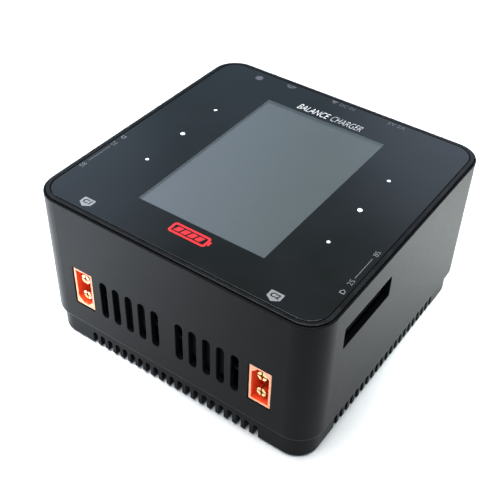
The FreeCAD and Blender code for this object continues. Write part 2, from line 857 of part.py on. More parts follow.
def display_cable():
    """The flat cable that folds back from the display board to the control board, and its sockets."""
    under = "tray_bottom - board_thickness"
    levels = (f"{under} - cable_level", f"{CONTROL_TOP} + cable_level")
    middle = f"({levels[0]} + {levels[1]}) / 2"
    radius = f"({levels[0]} - ({levels[1]})) / 2"
    half = "cable_thickness / 2"
    wide = both_signs("cable_half")
    outer = rod("X", f"{radius} + {half}", wide, "cable_bend", middle)
    inner = rod("X", f"{radius} - {half}", wide, "cable_bend", middle)
    front = block(wide, (f"cable_bend - {radius} - past", "cable_bend"),
                  (f"{levels[1]} - past", f"{levels[0]} + past"))
    runs = [block(wide, ("cable_end", "cable_bend"), (f"{level} - {half}", f"{level} + {half}"))
            for level in levels]
    node(fused(cut(outer, inner, front), *runs), "display_cable")

    wide = both_signs("cable_socket_half")
    deep = ("cable_end - cable_socket_depth", "cable_end")
    high = block(wide, deep, (f"{under} - cable_socket_height", under))
    low = block(wide, deep, (CONTROL_TOP, f"{CONTROL_TOP} + cable_socket_height"))
    group([high, low], "cable_sockets")


# ---------------------------------------------------------------- connectors

def power_cavity(outline, x, z, half_x, half_z, key_at, upright):
    """The keyed hollow of a two-pole power connector: two corners of one end are cut off."""
    low_x, high_x = f"{x} - {half_x}", f"{x} + {half_x}"
    low_z, high_z = f"{z} - {half_z}", f"{z} + {half_z}"
    if upright and key_at == "low":
        corners = [(f"{low_x} + cavity_key", low_z), (f"{high_x} - cavity_key", low_z),
                   (high_x, f"{low_z} + cavity_key"), (high_x, high_z), (low_x, high_z),
                   (low_x, f"{low_z} + cavity_key")]
    elif upright:
        corners = [(low_x, low_z), (high_x, low_z), (high_x, f"{high_z} - cavity_key"),
                   (f"{high_x} - cavity_key", high_z), (f"{low_x} + cavity_key", high_z),
                   (low_x, f"{high_z} - cavity_key")]
    else:
        corners = [(low_x, low_z), (f"{high_x} - cavity_key", low_z), (high_x, f"{low_z} + cavity_key"),
                   (high_x, f"{high_z} - cavity_key"), (f"{high_x} - cavity_key", high_z), (low_x, high_z)]
    outline.polygon(corners)


def split_pin(x, z, face, inward, length):
    """A round contact along Y whose front end is slit in four and hollow."""
    tip = f"{face} + {inward} * pin_recess"
    outside = f"{tip} - {inward} * past"

    def reach(start, depth):
        return tuple(sorted((start, f"{tip} + {inward} * ({depth})"), key=number))

    pin = rod("Y", "pin_radius", x, reach(tip, length), z)
    slit = reach(outside, "pin_slit_depth")
    long_x, long_z = [(f"{middle} - pin_radius - past", f"{middle} + pin_radius + past") for middle in (x, z)]
    thin_x, thin_z = [(f"{middle} - pin_slit / 2", f"{middle} + pin_slit / 2") for middle in (x, z)]
    hollow = rod("Y", "pin_hollow", x, reach(outside, "pin_hollow_depth"), z)
    return cut(pin, block(long_x, slit, thin_z), block(thin_x, slit, long_z), hollow)


def output_socket(side):
    """A battery output on the front: keyed housing, two split pins and their leads to the board."""
    word = "left" if side < 0 else "right"
    middle = f"{side} * socket_place"
    body = new_body(f"output_socket_{word}")
    shape = Outline(body, "Housing", "XZ_Plane", SOCKET_FACE)
    shape.rounded("socket_short", "socket_long", "socket_corner", middle, "middle_level")
    pad(body, shape, "socket_length", reverse=True)
    flange = Outline(body, "Flange", "XZ_Plane", INNER)
    flange.rounded("socket_short", "socket_long + flange_reach", "flange_corner", middle, "middle_level")
    pad(body, flange, "flange_thickness", reverse=True)
    hollow = Outline(body, "Cavity", "XZ_Plane", SOCKET_FACE)
    key_at = "low" if side < 0 else "high"
    power_cavity(hollow, middle, "middle_level", "cavity_short", "cavity_long", key_at, True)
    pocket(body, hollow, "cavity_depth")
    holes = Outline(body, "PinHoles", "XZ_Plane", SOCKET_FACE)
    for end in (-1, 1):
        holes.circle(middle, f"middle_level + {end} * pin_reach", "pin_radius")
    pocket(body, holes, "socket_length + past")
    eyes = Outline(body, "ScrewEyes", "XZ_Plane", f"{INNER} + past")
    for end in (-1, 1):
        eyes.circle(middle, f"middle_level + {end} * flange_screw", "pilot_radius")
    last = pocket(body, eyes, "flange_thickness + 2 * past")
    round_edges(body, last, "edge_round / 2", level_edges("Y", f"-({SOCKET_FACE})"))

    length = "socket_length - pin_recess + pin_tail"
    levels = [f"middle_level + {end} * pin_reach" for end in (-1, 1)]
    face = f"-({SOCKET_FACE})"
    group([split_pin(middle, level, face, 1, length) for level in levels], f"output_pins_{word}")

    start = f"{face} + socket_length + pin_tail"
    low = lead(middle, levels[0], start, "low_lead_run", "low_lead_bend")
    high = lead(middle, levels[1], start, "high_lead_run", "high_lead_bend")
    group([low, high], f"output_leads_{word}")


def lead(x, level, start, straight, radius):
    """A stiff insulated lead: straight back from a pin, one bend, and straight down to the board."""
    turn = f"{start} + {straight}"
    run = rod("Y", "lead_radius", x, (start, turn), level)
    bend = doc.addObject("Part::Torus", "Bend")
    bind(bend, "Radius1", radius)
    bind(bend, "Radius2", "lead_radius")
    bend.Angle3 = 90
    bend.Placement.Rotation = Rotation(Vector(0, 1, 0), Vector(0, 0, 1), Vector(1, 0, 0), "ZXY")
    put(bend, x, turn, f"{level} - ({radius})")
    drop = rod("Z", "lead_radius", x, f"{turn} + {radius}", (MAIN_TOP, f"{level} - ({radius})"))
    return fused(run, bend, drop)


def supply_input():
    """The supply input on the back: the same connector lying down, soldered to the main board."""
    body = new_body("supply_socket")
    level = f"{MAIN_TOP} + socket_short"
    shape = Outline(body, "Housing", "XZ_Plane", f"-({SOCKET_FACE})")
    shape.rounded("socket_long", "socket_short", "socket_corner", "0", level)
    pad(body, shape, "socket_length")
    hollow = Outline(body, "Cavity", "XZ_Plane", f"-({SOCKET_FACE})")
    power_cavity(hollow, "0", level, "cavity_long", "cavity_short", "high", False)
    pocket(body, hollow, "cavity_depth", reverse=True)
    holes = Outline(body, "PinHoles", "XZ_Plane", f"-({SOCKET_FACE})")
    for side in (-1, 1):
        holes.circle(f"{side} * pin_reach", level, "pin_radius")
    last = pocket(body, holes, "socket_length + past", reverse=True)
    round_edges(body, last, "edge_round / 2", level_edges("Y", SOCKET_FACE))

    pins = []
    length = "socket_length - pin_recess + pin_tail"
    leg_place = f"{SOCKET_FACE} - socket_length - pin_tail + leg_inset"
    for side in (-1, 1):
        x = f"{side} * pin_reach"
        pin = split_pin(x, level, SOCKET_FACE, -1, length)
        leg = rod("Z", "leg_radius", x, leg_place, (MAIN_TOP, level))
        pins.append(fused(pin, leg))
    group(pins, "supply_pins")


def balance_header(side):
    """A nine-pin balance header, lying on the control board behind its window."""
    word = "left" if side < 0 else "right"
    middle = "(balance_front + balance_back) / 2"
    top = f"{CONTROL_TOP} + header_height"
    level = f"{CONTROL_TOP} + header_height / 2"
    back = "header_face - header_depth"

    def across(near, far):
        return tuple(sorted((f"{side} * ({near})", f"{side} * ({far})"), key=number))

    pins = []
    tools = [block(across(f"{back} + header_back_wall", "header_face + past"),
                   (f"{middle} - header_half + header_wall", f"{middle} + header_half - header_wall"),
                   (f"{CONTROL_TOP} + header_wall", f"{top} - header_wall"))]
    for end in (-1, 1):
        place = f"{middle} + {end} * (header_half - key_inset)"
        tools.append(block(across("header_face - key_depth", "header_face + past"),
                           (f"{place} - key_half", f"{place} + key_half"),
                           (f"{top} - header_wall - fit_gap", f"{top} + past")))
    for i in range(SIZES["balance_count"]):
        place = f"{middle} + balance_pitch * ({i} - (balance_count - 1) / 2)"
        wide = (f"{place} - balance_pin", f"{place} + balance_pin")
        tall = (f"{level} - balance_pin", f"{level} + balance_pin")
        behind = f"{back} - balance_pin_tail"
        run = block(across(behind, "header_face - balance_pin_recess"), wide, tall)
        leg = block(across(behind, f"{behind} + 2 * balance_pin"), wide, (CONTROL_TOP, tall[1]))
        pins.append(fused(run, leg))
        tools.append(block(across(f"{back} - past", "header_face"), wide, tall))
    shell = block(across(back, "header_face"), (f"{middle} - header_half", f"{middle} + header_half"),
                  (CONTROL_TOP, top))
    node(cut(shell, *tools), f"balance_header_{word}")
    group(pins, f"balance_pins_{word}")


def usb_port():
    """The five-volt output: steel shell, insulating tongue and four contacts."""
    back = f"{PORT_FACE} - usb_length"
    outer = block(("usb_place - usb_half", "usb_place + usb_half"), (back, PORT_FACE),
                  (MAIN_TOP, f"{MAIN_TOP} + usb_height"))
    low, high = f"{MAIN_TOP} + usb_wall", f"{MAIN_TOP} + usb_height - usb_wall"
    inner = block(("usb_place - usb_half + usb_wall", "usb_place + usb_half - usb_wall"),
                  (f"{back} + usb_wall", f"{PORT_FACE} + past"), (low, high))
    node(cut(outer, inner), "usb_shell")

    top = f"{MAIN_TOP} + usb_height - usb_tongue_gap"
    under = f"{top} - usb_tongue_thickness"
    plate = block(("usb_place - usb_tongue_half", "usb_place + usb_tongue_half"),
                  (f"{back} + usb_wall", f"{PORT_FACE} - usb_tongue_recess"), (under, top))
    root = block(("usb_place - usb_root_half", "usb_place + usb_root_half"),
                 (f"{back} + usb_wall", f"{back} + usb_root_depth"), (low, high))
    node(fused(plate, root), "usb_tongue")

    strips = []
    for i in range(4):
        x = f"usb_place + usb_contact_pitch * ({i} - 1.5)"
        strips.append(block((f"{x} - usb_contact_half", f"{x} + usb_contact_half"),
                            (f"{back} + usb_root_depth", f"{PORT_FACE} - usb_contact_recess"),
                            (f"{under} - usb_contact_thickness", under)))
    group(strips, "usb_contacts")


def service_port():
    """The small firmware port: a low shell with its two lower corners sloped, and a thin tongue."""
    body = new_body("service_port_shell")

    def section(name, margin):
        outline = Outline(body, name, "XZ_Plane", f"-({PORT_FACE})")
        low = f"{MAIN_TOP} + {margin}"
        high = f"{MAIN_TOP} + service_height - {margin}"
        left = f"service_place - (service_half - {margin})"
        right = f"service_place + (service_half - {margin})"
        outline.polygon([(f"{left} + service_slope", low), (f"{right} - service_slope", low),
                         (right, f"{low} + service_slope"), (right, high),
                         (left, high), (left, f"{low} + service_slope")])
        return outline

    pad(body, section("Outer", "0"), "service_length")
    pocket(body, section("Inner", "service_wall"), "service_length - service_wall", reverse=True)
    level = f"{MAIN_TOP} + service_height / 2 + service_tongue_rise"
    tongue = block(("service_place - service_tongue_half", "service_place + service_tongue_half"),
                   (f"{PORT_FACE} - service_length + service_wall", f"{PORT_FACE} - service_tongue_recess"),
                   (f"{level} - service_tongue_thickness / 2", f"{level} + service_tongue_thickness / 2"))
    node(tongue, "service_port_tongue")


# ---------------------------------------------------------------- fans

def fan(side):
    """A 30 mm fan behind one group of vents. Each piece is drawn about its own axis, then placed."""
    word = "left" if side < 0 else "right"
    middle = f"{side} * fan_place"

    def sited(thing):
        return put(thing, middle, "0", "middle_level")

    def round_part(label, start, outer, length, inner=None):
        body = new_body(label)
        outline = Outline(body, "Ring", "XZ_Plane", start)
        outline.circle("0", "0", outer)
        if inner:
            outline.circle("0", "0", inner)
        pad(body, outline, length, reverse=True)
        return sited(body)

    frame = new_body(f"fan_frame_{word}")
    square = Outline(frame, "Square", "XZ_Plane", FAN_FRONT)
    square.rounded("fan_size / 2", "fan_size / 2", "fan_corner")
    square.circle("0", "0", "fan_bore")
    for x, z in four_places("fan_screw_place", "fan_screw_place"):
        square.circle(x, z, "stud_radius + fit_gap")
    pad(frame, square, "fan_depth", reverse=True)
    disc = Outline(frame, "HubPlate", "XZ_Plane", FAN_FRONT)
    disc.circle("0", "0", "hub_plate_radius")
    pad(frame, disc, "hub_plate_thickness", reverse=True)
    strut = Outline(frame, "Strut", "XZ_Plane", FAN_FRONT)
    strut.rectangle(*both_signs("strut_width / 2"), "hub_plate_radius - bite", "fan_bore + bite")
    first = pad(frame, strut, "hub_plate_thickness", reverse=True)
    ring_of(frame, first, "Y_Axis", "4")
    plate_back = f"{FAN_FRONT} - hub_plate_thickness"
    tube = Outline(frame, "BearingTube", "XZ_Plane", plate_back)
    tube.circle("0", "0", "bearing_radius + bearing_wall")
    tube.circle("0", "0", "bearing_radius")
    pad(frame, tube, "bearing_length", reverse=True)
    sited(frame)

    round_part(f"fan_bearing_{word}", plate_back, "bearing_radius", "bearing_length",
               "shaft_radius + running_gap")
    coil = new_body(f"fan_stator_{word}")
    poles = Outline(coil, "Core", "XZ_Plane", f"{plate_back} - stator_step")
    poles.circle("0", "0", "rotor_radius - rotor_wall - stator_gap")
    poles.circle("0", "0", "bearing_radius + bearing_wall")
    pad(coil, poles, "stator_length", reverse=True)
    gap = Outline(coil, "PoleGap", "XZ_Plane", plate_back)
    gap.rectangle(*both_signs("pole_gap_half"), "bearing_radius + pole_root", "rotor_radius")
    slit = pocket(coil, gap, "bearing_length")
    ring_of(coil, slit, "Y_Axis", "4")
    sited(coil)

    cup_front = f"{plate_back} - cup_step"
    rotor = new_body(f"fan_rotor_{word}")
    cup = Outline(rotor, "Cup", "XZ_Plane", cup_front)
    cup.circle("0", "0", "rotor_radius")
    pad(rotor, cup, "cup_length", reverse=True)
    well = Outline(rotor, "Well", "XZ_Plane", cup_front)
    well.circle("0", "0", "rotor_radius - rotor_wall")
    pocket(rotor, well, "cup_length - rotor_wall")
    eye = Outline(rotor, "ShaftEye", "XZ_Plane", cup_front)
    eye.circle("0", "0", "shaft_radius")
    pocket(rotor, eye, "cup_length + past")
    blade = Outline(rotor, "Blade", "XY_Plane", "rotor_radius - bite")
    centre = f"-({cup_front}) + cup_length / 2"
    low, high = f"{centre} - blade_rise / 2", f"{centre} + blade_rise / 2"
    blade.polygon([("-blade_half", low), ("-blade_half + blade_thickness", low),
                   ("blade_half", high), ("blade_half - blade_thickness", high)])
    first = pad(rotor, blade, "blade_tip - rotor_radius + bite")
    ring_of(rotor, first, "Y_Axis", "blade_count")
    sited(rotor)

    round_part(f"fan_shaft_{word}", f"{plate_back} - shaft_step", "shaft_radius",
               "cup_length + cup_step - shaft_step")


def front_screws():
    """The screws that hold the fans and the battery outputs to the front wall, driven from inside."""
    start = f"-({INNER}) - past"

    def screw(x, z, rear, radius, head_radius, head_height):
        head = rod("Y", head_radius, x, (rear, f"{rear} + {head_height}"), z)
        return fused(head, rod("Y", radius, x, (start, rear), z))

    fan_rear = f"-({FAN_FRONT}) + fan_depth"
    flange_rear = f"-({INNER}) + flange_thickness"
    in_fans = []
    in_flanges = []
    for side in (-1, 1):
        for x, z in four_places("fan_screw_place", "fan_screw_place"):
            in_fans.append(screw(f"{side} * fan_place + {x}", f"middle_level + {z}", fan_rear,
                                 "stud_radius", "stud_head_radius", "stud_head_height"))
        for end in (-1, 1):
            in_flanges.append(screw(f"{side} * socket_place", f"middle_level + {end} * flange_screw",
                                    flange_rear, "pilot_radius", "pilot_head_radius", "pilot_head_height"))
    group(in_fans, "fan_screws")
    group(in_flanges, "socket_screws")


# ---------------------------------------------------------------- boards

def board(label, bottom, front, front_notches):
    """A circuit board with corners left out for the case posts, and holes at the standoffs."""
    body = new_body(label)
    outline = Outline(body, "Board", "XY_Plane", bottom)
    side = "board_x"
    inner = "board_x - board_notch"
    back, step = "board_back", "board_back - board_notch"
    corners = [(side, step), (inner, step), (inner, back), (f"-({inner})", back),
               (f"-({inner})", step), (f"-({side})", step)]
    if front_notches:
        rise = f"{front} + board_notch"
        corners += [(f"-({side})", rise), (f"-({inner})", rise), (f"-({inner})", front),
                    (inner, front), (inner, rise), (side, rise)]
    else:
        corners += [(f"-({side})", front), (side, front)]
    outline.polygon(corners)
    for x, y in standoff_places():
        outline.circle(x, y, "stud_radius + fit_gap")
    pad(body, outline, "board_thickness")


def about(middle, half):
    """The two ends of a span, from its middle and half its length."""
    return f"{middle} - {half}", f"{middle} + {half}"


def control_parts():
    """What stands on the control board, and the flat link down to the main board."""
    chips = [block(about(x, half), about(y, half), (CONTROL_TOP, f"{CONTROL_TOP} + chip_thickness"))
             for x, y, half in CHIPS]
    group(chips, "control_chips")
    top = f"{CONTROL_TOP} + buzzer_height"
    shell = rod("Z", "buzzer_radius", "buzzer_x", "buzzer_y", (CONTROL_TOP, top))
    mouth = rod("Z", "buzzer_mouth", "buzzer_x", "buzzer_y", (f"{top} - buzzer_mouth", f"{top} + past"))
    node(cut(shell, mouth), "buzzer")

    wide = both_signs("link_half")
    deep = about("link_place", "link_depth / 2")
    low_top = f"{MAIN_TOP} + link_height"
    high_bottom = "control_bottom - link_height"
    low = block(wide, deep, (MAIN_TOP, low_top))
    high = block(wide, deep, (high_bottom, "control_bottom"))
    group([low, high], "link_sockets")
    ribbon = block(both_signs("ribbon_half"), about("link_place", "ribbon_thickness / 2"),
                   (low_top, high_bottom))
    node(ribbon, "link_cable")


def power_parts():
    """The power stage on the main board, cooled by two finned blocks in the path to the fans."""
    transistors = []
    pads = []
    pad_bottom = f"{MAIN_TOP} + transistor_height"
    sink_bottom = f"{pad_bottom} + thermal_pad"
    for side in (-1, 1):
        middle = f"{side} * sink_place"
        for step in range(4):
            y = f"sink_front + transistor_first + {step} * transistor_pitch"
            transistors.append(block(about(middle, "transistor_half_x"), about(y, "transistor_half_y"),
                                     (MAIN_TOP, pad_bottom)))
        pads.append(block(about(middle, "thermal_pad_half"),
                          ("sink_front + thermal_pad_inset", "sink_back - thermal_pad_inset"),
                          (pad_bottom, sink_bottom)))
        sink = new_body("heat_sink_left" if side < 0 else "heat_sink_right")
        base = Outline(sink, "Base", "XY_Plane", sink_bottom)
        low, high = about(middle, "sink_half_x")
        base.rectangle(low, high, "sink_front", "sink_back")
        pad(sink, base, "sink_base")
        fin = Outline(sink, "Fin", "XY_Plane", f"{sink_bottom} + sink_base")
        fin.rectangle(low, f"{low} + fin_thickness", "sink_front", "sink_back")
        first = pad(sink, fin, f"sink_top - ({sink_bottom}) - sink_base")
        row_of(sink, first, fin, "H_Axis", "fin_pitch", "fin_count")
    group(transistors, "power_transistors")
    group(pads, "thermal_pads")

    inductors = []
    corner = number("inductor_corner")
    for side in (-1, 1):
        core = block(about(f"{side} * inductor_x", "inductor_half"), about("inductor_y", "inductor_half"),
                     (MAIN_TOP, f"{MAIN_TOP} + inductor_height"))
        doc.recompute()
        upright = [i for i, edge in enumerate(core.Shape.Edges, start=1)
                   if abs(edge.tangentAt(edge.FirstParameter).z) > 1 - CLOSE]
        rounded = doc.addObject("Part::Fillet", "Rounded")
        rounded.Base = core
        rounded.Edges = [(i, corner, corner) for i in upright]
        inductors.append(rounded)
    group(inductors, "power_inductors")

    rows = [f"capacitor_first + {step} * capacitor_pitch" for step in range(3)]
    cans = [rod("Z", "capacitor_radius", f"{side} * capacitor_x", y,
                (MAIN_TOP, f"{MAIN_TOP} + capacitor_height"))
            for side in (-1, 1) for y in rows]
    group(cans, "bulk_capacitors")


main_housing()
bottom_cover()
fixings()
top_bezel()
cover_glass()
display()
display_cable()
for side in (-1, 1):
    output_socket(side)
    balance_header(side)
    fan(side)
supply_input()
usb_port()
service_port()
front_screws()
board("main_board", "main_bottom", "main_front", False)
board("control_board", "control_bottom", "control_front", True)
control_parts()
power_parts()

doc.removeObject("probe")
doc.recompute()
for thing in doc.Objects:
    for state in ("Invalid", "Error"):
        if state in thing.State:
            raise ValueError(f"{thing.Name} is {state}: {thing.getStatusString()}")
os.makedirs("parts", exist_ok=True)
for thing in nodes:
    if thing.Shape.isNull() or not thing.Shape.isValid() or not thing.Shape.Solids:
        raise ValueError(f"{thing.Label} has no valid solid")
    thing.Shape.exportStep(f"parts/{thing.Label}.step")
    print(f"{thing.Label}: {len(thing.Shape.Solids)} solids, {thing.Shape.Volume:.1f} mm3")
print(len(nodes), "nodes")
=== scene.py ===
"""Looks for the two-channel balance battery charger, built around its CAD frame.

The frame is in metres: +X to the right along the front face, +Y to the back, +Z up, with the
origin under the middle of the charger. The CAD nodes keep their shape and get their finish here.
The print on the glass is made of thin pieces that ride on the case. Sizes in this script are in
millimetres until they meet MM.
"""

import json
import math
from collections import namedtuple

import bpy
from mathutils import Matrix, Quaternion, Vector


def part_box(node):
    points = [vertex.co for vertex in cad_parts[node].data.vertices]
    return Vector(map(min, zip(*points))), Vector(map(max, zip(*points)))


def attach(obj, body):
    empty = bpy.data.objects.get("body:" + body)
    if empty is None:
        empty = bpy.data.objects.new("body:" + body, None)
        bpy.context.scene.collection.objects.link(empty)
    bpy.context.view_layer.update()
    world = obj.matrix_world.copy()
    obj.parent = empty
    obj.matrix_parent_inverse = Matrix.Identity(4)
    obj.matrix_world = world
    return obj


MM = 0.001

# The camera, in metres and degrees.
CAMERA_PLACE = Vector((0.12941, -0.20280, 0.23581))
CAMERA_TARGET = Vector((-0.00108, -0.00683, 0.030))
CAMERA_ROLL = 2.06
CAMERA_LENS = 63.42

# The clear window in the black print of the glass, as half sizes.
WINDOW_X = 24.4
WINDOW_Y = 37.35
# How far down from its top the glass counts as printed.
PRINT_DEPTH = 0.5
GLASS_IOR = 1.5
# The part of the display panel that lights up when it is on, as half sizes. Outside it the panel is painted
# darker, a painted shadow of the print on the glass.
ACTIVE_X = 24.65
ACTIVE_Y = 37.6
# The print stands this far above the glass, and its pieces sink this far into it.
INK_ABOVE = 0.02
INK_BELOW = 0.01
# Points of the print that are closer together than this are one point.
INK_WELD = 0.002

# Where the print is on the glass, seen from above, and how large it is.
TOUCH_X = 35.9
TOUCH_PITCH = 19.4
TOUCH_RADIUS = 0.625
TOUCH_MIDDLE_RADIUS = 0.875
TITLE_Y = 40.75
TITLE_HEIGHT = 3.5
TITLE_SLANT = 0.22
EMBLEM_X = -0.1
EMBLEM_Y = -42.0
EMBLEM_BARS = (-5.6, -2.9, -0.2, 2.5)
EMBLEM_BAR_WIDTH = 2.0
EMBLEM_BAR_HALF_HEIGHT = 1.05
EMBLEM_BAR_LEAN = 0.8
BADGE_X = 36.0
BADGE_Y = -49.0
BADGE_NUMBER_Y = -48.65
SCALE_LETTER_SIZE = (2.4, 1.7)
SCALE_LETTER_WEIGHT = -0.02
REAR_Y = 50.7
REAR_LETTER_HEIGHT = 1.8

# How far the floor reaches from the charger on each side.
FLOOR_REACH = 3000
# The studio: colour stops by height, then bright patches as azimuth, elevation, reach and colour.
SKY_WALL = (0.54, (0.33, 0.45, 0.56, 1))
SKY_CEILING = (0.7, (0.2, 0.25, 0.25, 1))
SKY_PATCHES = (
    (-14, 31, 13, (0.5, 0.55, 0.68)),
    (-55, 36, 14, (0.42, 0.5, 0.66)),
)

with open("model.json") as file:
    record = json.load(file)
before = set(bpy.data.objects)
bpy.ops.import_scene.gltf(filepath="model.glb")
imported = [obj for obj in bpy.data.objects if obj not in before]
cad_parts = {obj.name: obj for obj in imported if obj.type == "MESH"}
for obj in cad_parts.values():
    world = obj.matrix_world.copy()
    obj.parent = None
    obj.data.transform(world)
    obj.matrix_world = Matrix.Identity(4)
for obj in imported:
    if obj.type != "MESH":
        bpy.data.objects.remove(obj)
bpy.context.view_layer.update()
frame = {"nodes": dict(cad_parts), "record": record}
GLASS_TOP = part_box("cover_glass")[1].z / MM


# ---------------------------------------------------------------- materials

class Finish:
    """One procedural material. Patterns are read in the object's own coordinates."""

    def __init__(self, name):
        self.data = bpy.data.materials.new(name)
        self.data.use_nodes = True
        self.tree = self.data.node_tree
        self.shader = self.tree.nodes["Principled BSDF"]
        self.output = self.tree.nodes["Material Output"]
        self.place = self.add("ShaderNodeTexCoord").outputs["Object"]

    def add(self, kind, inputs=None, **settings):
        """A node with its settings and its inputs, each a value or another node's output."""
        node = self.tree.nodes.new(kind)
        for name, value in settings.items():
            setattr(node, name, value)
        for name, value in (inputs or {}).items():
            self.fill(node.inputs[name], value)
        return node

    def fill(self, socket, value):
        """Links another node's output to a socket, or sets the socket to a value."""
        if isinstance(value, bpy.types.NodeSocket):
            self.tree.links.new(value, socket)
        else:
            socket.default_value = value

    def set(self, **inputs):
        """Fills the shader's inputs; an underscore in a name stands for a space."""
        for name, value in inputs.items():
            self.fill(self.shader.inputs[name.replace("_", " ")], value)
        return self

    def math(self, operation, first, second=0.0):
        """The result of one operation on two numbers."""
        node = self.add("ShaderNodeMath", operation=operation)
        self.fill(node.inputs[0], first)
        self.fill(node.inputs[1], second)
        return node.outputs[0]

    def noise(self, size, detail=3.0, stretch=(1, 1, 1)):
        """Soft noise whose features are about a size across, longer where the stretch is under 1."""
        place = self.add("ShaderNodeMapping", {"Vector": self.place, "Scale": stretch}).outputs[0]
        inputs = {"Vector": place, "Scale": 1 / (size * MM), "Detail": detail}
        return self.add("ShaderNodeTexNoise", inputs).outputs["Fac"]

    def between(self, factor, low, high, start=0.3, end=0.7):
        """A number that goes from low to high as the factor goes from start to end."""
        inputs = {"Value": factor, "From Min": start, "From Max": end, "To Min": low, "To Max": high}
        return self.add("ShaderNodeMapRange", inputs, interpolation_type="SMOOTHSTEP").outputs[0]

    def colours(self, factor, low, high, start=0.3, end=0.7):
        """A colour that goes from low to high as the factor goes from start to end."""
        ramp = self.add("ShaderNodeValToRGB", {"Fac": factor})
        for element, place, colour in zip(ramp.color_ramp.elements, (start, end), (low, high)):
            element.position = place
            element.color = (*colour, 1)
        return ramp.outputs["Color"]

    def mixed(self, factor, first, second):
        """The first colour where the factor is 0, the second where it is 1."""
        node = self.add("ShaderNodeMix", data_type="RGBA")
        sockets = {socket.identifier: socket for socket in node.inputs}
        for name, value in (("Factor_Float", factor), ("A_Color", first), ("B_Color", second)):
            self.fill(sockets[name], value if isinstance(value, bpy.types.NodeSocket) else (*value, 1))
        return next(socket for socket in node.outputs if socket.identifier == "Result_Color")

    def blended(self, share, first, second):
        """The first shader where the share is 0, the second where it is 1."""
        node = self.add("ShaderNodeMixShader", {"Fac": share})
        self.fill(node.inputs[1], first.outputs[0])
        self.fill(node.inputs[2], second.outputs[0])
        return node

    def relief(self, height, depth, below=None):
        """A surface normal with a pattern pressed in to a depth, over an earlier normal if there is one."""
        inputs = {"Height": height, "Distance": depth * MM}
        if below is not None:
            inputs["Normal"] = below
        return self.add("ShaderNodeBump", inputs).outputs["Normal"]

    def soft_edges(self, radius):
        """The surface normal with every sharp edge rounded to a radius."""
        return self.add("ShaderNodeBevel", {"Radius": radius * MM}, samples=6).outputs["Normal"]

    def edges(self, radius):
        """0 on flat surfaces, and up to 1 on outer and inner edges."""
        flat = self.add("ShaderNodeNewGeometry").outputs["Normal"]
        match = self.add("ShaderNodeVectorMath", operation="DOT_PRODUCT")
        self.fill(match.inputs[0], flat)
        self.fill(match.inputs[1], self.soft_edges(radius))
        return self.between(match.outputs["Value"], 1, 0, 0.8, 0.995)

    def coordinates(self):
        """X, Y and Z in the object's own coordinates, by their names."""
        return self.add("ShaderNodeSeparateXYZ", {"Vector": self.place}).outputs

    def inside(self, half_x, half_y):
        """1 within a rectangle about the Z axis and 0 outside it."""
        parts = self.coordinates()
        within_x = self.math("LESS_THAN", self.math("ABSOLUTE", parts["X"]), half_x * MM)
        within_y = self.math("LESS_THAN", self.math("ABSOLUTE", parts["Y"]), half_y * MM)
        return self.math("MULTIPLY", within_x, within_y)


# What a plain slot looks like: its colour range, roughness range, grain and relief in millimetres.
Look = namedtuple("Look", "dark light rough grain relief metal ior", defaults=(0.0, 1.45))
LOOKS = {
    "adhesive": Look((0.012, 0.012, 0.013), (0.03, 0.03, 0.03), (0.75, 0.95), 0.5, 0.05),
    "conductive_foam": Look((0.05, 0.05, 0.055), (0.1, 0.1, 0.11), (0.8, 1.0), 0.3, 0.08),
    "brass_standoff": Look((0.55, 0.38, 0.14), (0.74, 0.56, 0.26), (0.22, 0.4), 0.9, 0.01, 1.0),
    "flex_film": Look((0.32, 0.14, 0.03), (0.46, 0.24, 0.07), (0.2, 0.35), 2.0, 0.01),
    "ivory_nylon": Look((0.6, 0.56, 0.46), (0.72, 0.69, 0.6), (0.4, 0.55), 1.5, 0.02),
    "black_nylon": Look((0.002, 0.002, 0.0024), (0.005, 0.005, 0.0055), (0.5, 0.7), 0.6, 0.015, 0.0, 1.12),
    "sintered_bronze": Look((0.3, 0.18, 0.08), (0.5, 0.33, 0.17), (0.35, 0.6), 0.15, 0.02, 1.0),
    "steel_shaft": Look((0.5, 0.5, 0.52), (0.7, 0.7, 0.72), (0.1, 0.25), 0.8, 0.003, 1.0),
    "thermal_gum": Look((0.3, 0.36, 0.42), (0.4, 0.46, 0.52), (0.6, 0.85), 0.8, 0.05),
    "chip_epoxy": Look((0.012, 0.012, 0.013), (0.03, 0.03, 0.031), (0.45, 0.7), 0.25, 0.015),
    "capacitor_sleeve": Look((0.02, 0.022, 0.035), (0.05, 0.055, 0.08), (0.25, 0.4), 3.0, 0.02),
    "foot_rubber": Look((0.01, 0.01, 0.01), (0.024, 0.024, 0.025), (0.7, 0.92), 0.35, 0.03),
    "clear_acrylic": Look((0.7, 0.72, 0.72), (0.8, 0.82, 0.82), (0.2, 0.4), 0.8, 0.02),
    "lamp_epoxy": Look((0.75, 0.66, 0.2), (0.85, 0.78, 0.32), (0.25, 0.4), 0.6, 0.01),
    "steel_screw": Look((0.13, 0.13, 0.135), (0.26, 0.26, 0.27), (0.25, 0.45), 0.5, 0.01, 1.0),
}


def plain(slot):
    """A finish with mottled colour, uneven gloss, a fine grain and a painted highlight that makes its edges a
    little lighter.
    """
    look = LOOKS[slot]
    finish = Finish(slot)
    mottle = finish.colours(finish.noise(look.grain * 6), look.dark, look.light)
    # Painted highlight: the edges are painted a little lighter.
    painted_edge_highlight = finish.mixed(finish.math("MULTIPLY", finish.edges(0.15), 0.35), mottle, look.light)
    grain = finish.noise(look.grain)
    return finish.set(Base_Color=painted_edge_highlight, Roughness=finish.between(grain, *look.rough), Metallic=look.metal,
                      IOR=look.ior, Normal=finish.relief(grain, look.relief))


